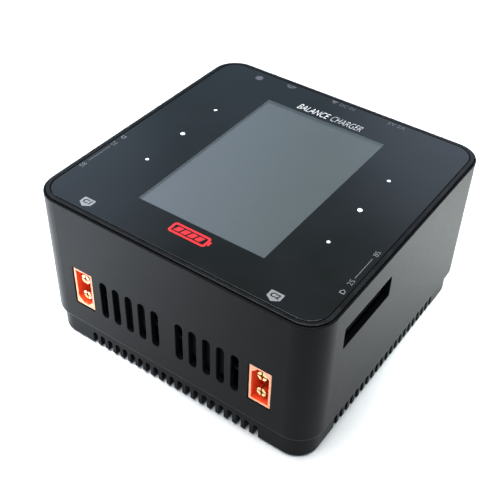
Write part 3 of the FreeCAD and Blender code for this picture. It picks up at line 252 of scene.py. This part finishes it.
def case_plastic():
    """Charcoal moulding with an even spark-eroded grain, very slight polish on its edges, and a painted
    highlight that makes its edges lighter.
    """
    finish = Finish("case_plastic")
    cloud = finish.noise(22)
    base = finish.colours(cloud, (0.0036, 0.0039, 0.0046), (0.0052, 0.0055, 0.0064))
    edge = finish.edges(0.35)
    # Painted highlight: the edges are painted lighter. The lower roughness below is the real polish.
    painted_edge_highlight = finish.mixed(finish.math("MULTIPLY", edge, 0.4), base, (0.014, 0.015, 0.017))
    grain = finish.noise(0.28, 2)
    rough = finish.math("SUBTRACT", finish.between(grain, 0.28, 0.38), finish.math("MULTIPLY", edge, 0.08))
    smooth = finish.relief(cloud, 0.02, finish.soft_edges(0.18))
    return finish.set(Base_Color=painted_edge_highlight, Roughness=rough, IOR=1.13, Normal=finish.relief(grain, 0.006, smooth))


def bezel_gloss():
    """Polished black ring with faint haze and hairline scratches."""
    finish = Finish("bezel_gloss")
    haze = finish.noise(6)
    hairline = finish.noise(0.3, 2, (1, 0.06, 1))
    base = finish.colours(haze, (0.004, 0.004, 0.0045), (0.008, 0.008, 0.009))
    normal = finish.relief(hairline, 0.001, finish.soft_edges(0.12))
    return finish.set(Base_Color=base, Roughness=finish.between(haze, 0.16, 0.3), IOR=1.3, Normal=normal)


def black_glass():
    """Glass with a black print in its top, round a clear window over the display."""
    finish = Finish("black_glass")
    smear = finish.noise(14, 4)
    base = finish.colours(smear, (0.004, 0.0045, 0.005), (0.006, 0.0065, 0.0075))
    gloss = finish.between(smear, 0.03, 0.09)
    waves = finish.relief(finish.noise(30), 0.004)
    finish.set(Base_Color=base, Roughness=gloss, IOR=GLASS_IOR, Normal=waves)

    # Only the top of the pane is printed, and the print stops what comes from outside. A ray that
    # leaves the pane from within passes on and isn't mirrored.
    height = finish.coordinates()["Z"]
    unprinted = finish.math("LESS_THAN", height, (GLASS_TOP - PRINT_DEPTH) * MM)
    leaving = finish.add("ShaderNodeNewGeometry").outputs["Backfacing"]
    clear = finish.add("ShaderNodeBsdfTransparent", {"Color": (0.93, 0.96, 0.96, 1)})
    mirror = finish.add("ShaderNodeBsdfAnisotropic", {"Roughness": gloss})
    bounce = finish.add("ShaderNodeFresnel", {"IOR": GLASS_IOR}).outputs[0]
    share = finish.math("MULTIPLY", bounce, finish.math("SUBTRACT", 1.0, leaving))
    pane = finish.blended(share, clear, mirror)
    # So the print casts no shadow on the display below. The display's border is painted darker in its place.
    passing = finish.math("MAXIMUM", unprinted, leaving)
    seen_through = finish.math("MAXIMUM", finish.inside(WINDOW_X, WINDOW_Y), passing)
    whole = finish.blended(seen_through, finish.shader, pane)
    finish.fill(finish.output.inputs["Surface"], whole.outputs[0])
    return finish


def display_glass():
    """A panel that is switched off: a matt grey polariser, with a painted shadow of the print that darkens
    the border outside its pixels, and a painted sheen that makes it lighter and bluer towards the left and
    front.
    """
    finish = Finish("display_glass")
    cloud = finish.noise(20, 2)
    mottle = finish.colours(cloud, (0.089, 0.092, 0.102), (0.091, 0.098, 0.097))
    parts = finish.coordinates()
    # Painted sheen: the colour grows lighter and bluer towards the left and front of the panel.
    leftward = finish.math("SUBTRACT", finish.math("MULTIPLY", parts["Y"], -0.4), parts["X"])
    painted_sheen_share = finish.between(leftward, 0, 1, -30 * MM, 38 * MM)
    active = finish.mixed(painted_sheen_share, mottle, (0.124, 0.127, 0.148))
    # Painted shadow: outside the active part the panel is painted darker, standing in for the shade of the
    # black print above it.
    base = finish.mixed(finish.inside(ACTIVE_X, ACTIVE_Y), (0.06, 0.065, 0.073), active)
    grain = finish.noise(0.12, 2)
    return finish.set(Base_Color=base, Roughness=finish.between(grain, 0.4, 0.55), IOR=1.2,
                      Normal=finish.relief(grain, 0.0003))


def brushed(slot, dark, light, rough):
    """Sheet or extruded metal with fine lines along Y."""
    finish = Finish(slot)
    lines = finish.noise(0.12, 2, (1, 0.04, 1))
    stain = finish.noise(5)
    base = finish.mixed(finish.between(lines, 0, 0.5), finish.colours(stain, dark, light), light)
    return finish.set(Base_Color=base, Metallic=1.0, Roughness=finish.between(lines, *rough),
                      Normal=finish.relief(lines, 0.004, finish.soft_edges(0.08)))


def gold_contact():
    """Gold flash over copper, a little tarnished where it isn't rubbed."""
    finish = Finish("gold_contact")
    tarnish = finish.noise(1.1)
    base = finish.colours(tarnish, (0.78, 0.5, 0.2), (0.96, 0.76, 0.42))
    turned = finish.noise(0.09, 2, (1, 0.2, 1))
    return finish.set(Base_Color=base, Metallic=1.0, Roughness=finish.between(tarnish, 0.2, 0.34),
                      Normal=finish.relief(turned, 0.004, finish.soft_edges(0.12)))


def orange_nylon():
    """Orange nylon that lets a little light through, with a painted highlight that makes the faces that plugs
    meet paler.
    """
    finish = Finish("orange_nylon")
    flow = finish.noise(2.2)
    base = finish.colours(flow, (0.92, 0.075, 0.018), (1.0, 0.1, 0.028))
    depth = finish.math("ABSOLUTE", finish.coordinates()["Y"])
    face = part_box("supply_socket")[1].y
    # Painted highlight: the outer faces of the socket, which plugs meet, are painted paler.
    painted_highlight_share = finish.between(depth, 0, 1, face - 0.25 * MM, face - 0.1 * MM)
    pale = finish.mixed(painted_highlight_share, base, finish.colours(flow, (1.0, 0.36, 0.2), (1.0, 0.44, 0.27)))
    grain = finish.noise(0.2)
    return finish.set(Base_Color=pale, Roughness=finish.between(grain, 0.34, 0.48), IOR=1.4,
                      Subsurface_Weight=0.25, Subsurface_Scale=0.5 * MM, Subsurface_Radius=(1.0, 0.3, 0.1),
                      Normal=finish.relief(grain, 0.006, finish.soft_edges(0.15)))


def circuit_board():
    """Green solder mask with paler copper traces below it and small tinned spots."""
    finish = Finish("circuit_board")
    cells = finish.add("ShaderNodeTexVoronoi", {"Vector": finish.place, "Scale": 1 / (3.2 * MM)},
                       feature="DISTANCE_TO_EDGE")
    trace = finish.between(cells.outputs["Distance"], 1, 0, 0.05, 0.09)
    dots = finish.add("ShaderNodeTexVoronoi", {"Vector": finish.place, "Scale": 1 / (2.3 * MM)})
    spot = finish.between(dots.outputs["Distance"], 1, 0, 0.1, 0.14)
    mask = finish.colours(finish.noise(9), (0.006, 0.05, 0.022), (0.01, 0.075, 0.032))
    base = finish.mixed(trace, mask, (0.03, 0.16, 0.06))
    base = finish.mixed(spot, base, (0.6, 0.6, 0.58))
    return finish.set(Base_Color=base, Metallic=spot, Roughness=finish.between(finish.noise(1.5), 0.25, 0.4),
                      Normal=finish.relief(finish.math("ADD", trace, spot), 0.03))


def striped(slot, dark, light, pitch, relief, rough, metal):
    """Parallel strands: a ribbon's wires or the turns of a coil."""
    finish = Finish(slot)
    wave = finish.add("ShaderNodeTexWave", {"Vector": finish.place, "Scale": 1 / (pitch * MM) / 20,
                                            "Distortion": 0.3}, bands_direction="X")
    base = finish.colours(wave.outputs["Fac"], dark, light, 0.1, 0.8)
    stain = finish.noise(3)
    return finish.set(Base_Color=base, Metallic=metal, Roughness=finish.between(stain, *rough),
                      Normal=finish.relief(wave.outputs["Fac"], relief))


def red_silicone():
    """Soft insulation with a dusty bloom and the faint lay of the strands below."""
    finish = Finish("red_silicone")
    bloom = finish.noise(2.5)
    base = finish.colours(bloom, (0.3, 0.012, 0.01), (0.42, 0.03, 0.022))
    lay = finish.noise(0.5, 1, (1, 1, 0.2))
    return finish.set(Base_Color=base, Roughness=finish.between(bloom, 0.45, 0.65), Subsurface_Weight=0.1,
                      Subsurface_Scale=0.5 * MM, Normal=finish.relief(lay, 0.03))


def ink(name, dark, light):
    """Opaque print seen through the gloss of the glass."""
    finish = Finish(name)
    base = finish.colours(finish.noise(1.2), dark, light)
    return finish.set(Base_Color=base, Roughness=finish.between(finish.noise(0.3), 0.12, 0.22), IOR=GLASS_IOR,
                      Normal=finish.relief(finish.noise(0.4), 0.0005))


def make_finishes():
    """Every slot of the record, by its name."""
    made = {slot: plain(slot) for slot in LOOKS}
    special = [
        case_plastic(), bezel_gloss(), black_glass(), display_glass(), gold_contact(), orange_nylon(),
        circuit_board(), red_silicone(),
        brushed("steel_sheet", (0.42, 0.43, 0.44), (0.6, 0.61, 0.62), (0.22, 0.38)),
        brushed("aluminium_fin", (0.6, 0.61, 0.63), (0.78, 0.79, 0.8), (0.25, 0.42)),
        striped("grey_ribbon", (0.2, 0.2, 0.21), (0.42, 0.42, 0.44), 1.27, 0.2, (0.4, 0.6), 0.0),
        striped("copper_winding", (0.35, 0.1, 0.03), (0.75, 0.35, 0.16), 0.3, 0.08, (0.2, 0.35), 0.9),
    ]
    made.update({finish.data.name: finish for finish in special})
    return made


def dress(finishes):
    """Gives each CAD node the finish of its slot in the record."""
    for part in frame["record"]["subparts"]:
        mesh = frame["nodes"][part["node"]].data
        mesh.materials.clear()
        mesh.materials.append(finishes[part["material_slot"]].data)


# ---------------------------------------------------------------- print on the glass

def flat_mesh(curve):
    """The mesh of a filled flat curve, in millimetres."""
    holder = bpy.data.objects.new(curve.name, curve)
    bpy.context.scene.collection.objects.link(holder)
    graph = bpy.context.evaluated_depsgraph_get()
    mesh = bpy.data.meshes.new_from_object(holder.evaluated_get(graph))
    bpy.data.objects.remove(holder)
    bpy.data.curves.remove(curve)
    return mesh


def letters(name, words, width, height, weight=0.0, slant=0.0):
    """Words in the built-in face, brought to a width and a height about their middle."""
    curve = bpy.data.curves.new(name, "FONT")
    curve.body = words
    curve.shear = slant
    curve.offset = weight
    mesh = flat_mesh(curve)
    xs = [vertex.co.x for vertex in mesh.vertices]
    ys = [vertex.co.y for vertex in mesh.vertices]
    middle = Vector(((min(xs) + max(xs)) / 2, (min(ys) + max(ys)) / 2, 0))
    size = Matrix.Diagonal((width / (max(xs) - min(xs)), height / (max(ys) - min(ys)), 1, 1))
    mesh.transform(size @ Matrix.Translation(-middle))
    return mesh


def outlines(name, loops):
    """A flat shape from closed loops of points; a loop inside another is a hole."""
    curve = bpy.data.curves.new(name, "CURVE")
    curve.dimensions = "2D"
    curve.fill_mode = "BOTH"
    for loop in loops:
        spline = curve.splines.new("POLY")
        spline.points.add(len(loop) - 1)
        for point, (x, y) in zip(spline.points, loop):
            point.co = (x, y, 0, 1)
        spline.use_cyclic_u = True
    return flat_mesh(curve)


def circle(radius, x=0.0, y=0.0, start=0.0, end=360.0, count=48):
    """Points on an arc, or all the way round."""
    whole = end - start == 360
    steps = count if whole else count + 1
    turns = [math.radians(start + (end - start) * i / count) for i in range(steps)]
    return [(x + radius * math.cos(turn), y + radius * math.sin(turn)) for turn in turns]


def box_loop(low_x, high_x, low_y, high_y, lean=0.0):
    """A rectangle whose top leans over by a distance."""
    return [(low_x, low_y), (high_x, low_y), (high_x + lean, high_y), (low_x + lean, high_y)]


def rounded_loop(half_x, half_y, radius):
    """A rectangle about the origin with round corners."""
    points = []
    for quarter, (sign_x, sign_y) in enumerate(((1, 1), (-1, 1), (-1, -1), (1, -1))):
        centre = (sign_x * (half_x - radius), sign_y * (half_y - radius))
        points += circle(radius, *centre, 90 * quarter, 90 * quarter + 90, 6)
    return points


def print_piece(name, finish, shapes):
    """One piece of print: flat shapes, each with its place and turn, thickened into solids."""
    joined = bpy.data.meshes.new(name)
    vertices = []
    faces = []
    for mesh, x, y, turn in shapes:
        put = Matrix.Translation((x, y, 0)) @ Matrix.Rotation(math.radians(turn), 4, "Z")
        start = len(vertices)
        vertices += [(put @ vertex.co) * MM for vertex in mesh.vertices]
        faces += [[start + i for i in face.vertices] for face in mesh.polygons]
    joined.from_pydata(vertices, [], faces)
    joined.materials.append(finish.data)
    piece = bpy.data.objects.new(name, joined)
    bpy.context.scene.collection.objects.link(piece)
    piece.location.z = (GLASS_TOP - INK_BELOW) * MM
    merge = piece.modifiers.new("Weld", "WELD")
    merge.merge_threshold = INK_WELD * MM
    thicken = piece.modifiers.new("Solidify", "SOLIDIFY")
    thicken.thickness = (INK_ABOVE + INK_BELOW) * MM
    thicken.offset = 1
    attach(piece, "case")
    return piece


def touch_marks(white):
    """Six round marks over the touch pads; the middle one of each side is larger."""
    dots = []
    for side in (-1, 1):
        for step in (-1, 0, 1):
            radius = TOUCH_MIDDLE_RADIUS if step == 0 else TOUCH_RADIUS
            dots.append((outlines("dot", [circle(radius)]), side * TOUCH_X, step * TOUCH_PITCH, 0))
    print_piece("print_touch_marks", white, dots)


def title(white):
    """Two slanted words behind the window, the first one bolder."""
    words = []
    for name, word, width, weight, x in (("title_first", "BALANCE", 13.0, -0.014, -6.7),
                                         ("title_second", "CHARGER", 12.4, -0.027, 7.2)):
        words.append((letters(name, word, width, TITLE_HEIGHT, weight, TITLE_SLANT), x, TITLE_Y, 0))
    print_piece("print_title", white, words)


def emblem(red):
    """A battery drawn in red: an outline with a terminal, filled by leaning bars."""
    shell = outlines("shell", [rounded_loop(7.1, 2.4, 1.1), rounded_loop(6.25, 1.55, 0.5)])
    terminal = outlines("terminal", [box_loop(7.25, 7.95, -0.95, 0.95)])
    bars = []
    for low in EMBLEM_BARS:
        bar = box_loop(low, low + EMBLEM_BAR_WIDTH, -EMBLEM_BAR_HALF_HEIGHT, EMBLEM_BAR_HALF_HEIGHT,
                       EMBLEM_BAR_LEAN)
        bars.append(outlines("bar", [bar]))
    print_piece("print_emblem", red, [(mesh, EMBLEM_X, EMBLEM_Y, 0) for mesh in (shell, terminal, *bars)])


def badges(pale, dark):
    """The channel numbers beside the outputs, each in a shield that points to its socket."""
    shield = [(-2.3, 1.75), (-2.05, 2.0), (2.05, 2.0), (2.3, 1.75), (2.3, -0.8), (0.15, -2.2), (-0.15, -2.2),
              (-2.3, -0.8)]
    plates = []
    digits = []
    for side, words in ((-1, "C1"), (1, "C2")):
        plates.append((outlines("shield", [shield]), side * BADGE_X, BADGE_Y, 0))
        number = letters("digit", words, 3.1, 1.9, 0.035, 0.12)
        digits.append((number, side * BADGE_X, BADGE_NUMBER_Y, 0))
    print_piece("print_badges", pale, plates)
    numbers = print_piece("print_badge_numbers", dark, digits)
    numbers.location.z += INK_ABOVE * MM


def cell_scale(name, ink_used, x, front, back, turn):
    """The range of cells beside a balance socket: a plug sign, 2S, a line and 8S."""
    middle = (front + back) / 2
    direction = 1 if turn > 0 else -1
    sign = outlines("plug", [plug_loop(0.8, 0.9), plug_loop(0.58, 0.66)])
    line = outlines("line", [box_loop(-5.3, 5.3, -0.07, 0.07)])
    low, high = (letters(end, words, *SCALE_LETTER_SIZE, SCALE_LETTER_WEIGHT)
                 for end, words in (("low", "2S"), ("high", "8S")))
    places = ((sign, -10.3), (low, -5.6), (line, 1.9), (high, 10.0))
    print_piece(name, ink_used, [(mesh, x, middle + direction * along, turn) for mesh, along in places])


def plug_loop(half, length):
    """A plug seen from above: square behind and pointed in front."""
    return [(-length, -half), (length * 0.3, -half), (length, 0), (length * 0.3, half), (-length, half)]


def rear_labels(dim):
    """Signs for what is on the back face: the service port, the supply input and the USB outlet."""
    half_moon = outlines("port", [[(-1.9, 0.7), *circle(1.9, 0, 0.7, 180, 360, 24), (1.9, 0.7)],
                                  box_loop(-1.1, 1.1, -0.35, 0.2)])
    arrow = outlines("arrow", [[(-1.4, 1.1), (1.4, 1.1), (0, -1.1)]])
    shapes = [
        (outlines("spot", [circle(1.55)]), -36.2, 48.2, 0),
        (half_moon, -22.9, 50.4, 0),
        (arrow, -3.9, REAR_Y, 0),
        (letters("supply", "DC IN", 6.2, REAR_LETTER_HEIGHT), 1.7, REAR_Y, 0),
        (letters("outlet", "5V 2A", 7.0, REAR_LETTER_HEIGHT), 22.3, REAR_Y, 0),
    ]
    print_piece("print_rear_labels", dim, shapes)


# ---------------------------------------------------------------- stage

def make_floor():
    """A wide pale sheet of paper under the charger."""
    finish = Finish("floor_paper")
    fibre = finish.noise(3)
    finish.set(Base_Color=finish.colours(fibre, (0.93, 0.93, 0.935), (0.95, 0.95, 0.95)), Roughness=0.9,
               IOR=1.2, Normal=finish.relief(fibre, 0.02))
    reach = FLOOR_REACH * MM
    mesh = bpy.data.meshes.new("floor")
    mesh.from_pydata([(-reach, -reach, 0), (reach, -reach, 0), (reach, reach, 0), (-reach, reach, 0)], [],
                     [(0, 1, 2, 3)])
    mesh.materials.append(finish.data)
    floor = bpy.data.objects.new("floor", mesh)
    bpy.context.scene.collection.objects.link(floor)


def heading(azimuth, elevation):
    """The direction at an azimuth to the right of +Y and an elevation, in degrees."""
    turn, rise = math.radians(azimuth), math.radians(elevation)
    return Vector((math.sin(turn) * math.cos(rise), math.cos(turn) * math.cos(rise), math.sin(rise)))


def make_sky():
    """A pale studio, dimmer overhead, with soft bright patches on its walls."""
    world = bpy.data.worlds.new("studio")
    bpy.context.scene.world = world
    world.use_nodes = True
    nodes, links = world.node_tree.nodes, world.node_tree.links
    direction = nodes.new("ShaderNodeTexCoord").outputs["Generated"]
    height = nodes.new("ShaderNodeSeparateXYZ")
    links.new(direction, height.inputs[0])
    ramp = nodes.new("ShaderNodeValToRGB")
    links.new(height.outputs["Z"], ramp.inputs["Fac"])
    ramp.color_ramp.interpolation = "EASE"
    stops = ramp.color_ramp.elements
    stops[0].position, stops[0].color = SKY_WALL
    stops[1].position, stops[1].color = SKY_CEILING
    light = ramp.outputs["Color"]
    for azimuth, elevation, reach, colour in SKY_PATCHES:
        match = nodes.new("ShaderNodeVectorMath")
        match.operation = "DOT_PRODUCT"
        links.new(direction, match.inputs[0])
        match.inputs[1].default_value = heading(azimuth, elevation)
        fade = nodes.new("ShaderNodeMapRange")
        fade.interpolation_type = "SMOOTHSTEP"
        links.new(match.outputs["Value"], fade.inputs["Value"])
        fade.inputs["From Min"].default_value = math.cos(math.radians(reach))
        fade.inputs["From Max"].default_value = 1.0
        patch = nodes.new("ShaderNodeMix")
        patch.data_type = "RGBA"
        patch.blend_type = "ADD"
        sockets = {socket.identifier: socket for socket in (*patch.inputs, *patch.outputs)}
        links.new(fade.outputs["Result"], sockets["Factor_Float"])
        links.new(light, sockets["A_Color"])
        sockets["B_Color"].default_value = (*colour, 1)
        light = sockets["Result_Color"]
    links.new(light, nodes["Background"].inputs["Color"])


def hang(light, place, target, power, colour):
    """Hangs a light at a place, aimed at a target, with its power and colour."""
    light.energy = power
    light.color = colour
    holder = bpy.data.objects.new(light.name, light)
    holder.location = place
    holder.rotation_mode = "QUATERNION"
    holder.rotation_quaternion = (Vector(target) - Vector(place)).to_track_quat("-Z", "Y")
    bpy.context.scene.collection.objects.link(holder)
    return holder


def pool(name, place, target, cone, power, colour):
    """A narrow light that makes the paper glow where the case's sides mirror it."""
    light = bpy.data.lights.new(name, "SPOT")
    light.spot_size = math.radians(cone)
    light.spot_blend = 1.0
    light.shadow_soft_size = 0.05
    hang(light, place, target, power, colour).visible_glossy = False


def softbox(name, place, target, size, power, colour):
    """A wide soft light."""
    light = bpy.data.lights.new(name, "AREA")
    light.shape = "RECTANGLE"
    light.size, light.size_y = size
    hang(light, place, target, power, colour)


def make_camera():
    """A camera aimed at the charger and rolled a little about its own axis."""
    data = bpy.data.cameras.new("camera")
    data.lens = CAMERA_LENS
    camera = bpy.data.objects.new("camera", data)
    camera.location = CAMERA_PLACE
    camera.rotation_mode = "QUATERNION"
    aim = (CAMERA_TARGET - CAMERA_PLACE).to_track_quat("-Z", "Y")
    camera.rotation_quaternion = aim @ Quaternion((0, 0, 1), math.radians(CAMERA_ROLL))
    bpy.context.scene.collection.objects.link(camera)
    bpy.context.scene.camera = camera


# The finishes replace every material that came in with the CAD.
for imported in list(bpy.data.materials):
    bpy.data.materials.remove(imported)
dress(make_finishes())
white_ink = ink("white_ink", (0.78, 0.8, 0.82), (0.86, 0.87, 0.88))
badge_ink = ink("badge_ink", (0.19, 0.195, 0.21), (0.22, 0.225, 0.24))
pale_ink = ink("pale_ink", (0.21, 0.215, 0.22), (0.25, 0.255, 0.26))
grey_ink = ink("grey_ink", (0.17, 0.175, 0.19), (0.21, 0.215, 0.23))
dim_ink = ink("dim_ink", (0.07, 0.075, 0.085), (0.086, 0.091, 0.101))
red_ink = ink("red_ink", (0.62, 0.022, 0.03), (0.7, 0.03, 0.038))
dark_ink = ink("dark_ink", (0.008, 0.008, 0.009), (0.013, 0.013, 0.014))
touch_marks(white_ink)
title(white_ink)
emblem(red_ink)
badges(badge_ink, dark_ink)
cell_scale("print_scale_right", pale_ink, 50.6, -35.7, -15.2, 90)
cell_scale("print_scale_left", grey_ink, -51.0, -34.7, -14.5, -90)
rear_labels(dim_ink)

make_floor()
make_sky()
softbox("overhead", (-0.1, -0.1, 1.2), (0, 0, 0), (1.3, 1.3), 32, (1.0, 0.985, 0.97))
pool("pool_left", (-0.15, -0.17, 0.45), (-0.1, -0.115, 0), 24, 46, (0.82, 0.91, 1.0))
pool("pool_right", (0.2, 0.12, 0.5), (0.13, 0.085, 0), 26, 25, (0.9, 1.0, 0.97))
make_camera()
bpy.context.scene.view_settings.view_transform = "Standard"
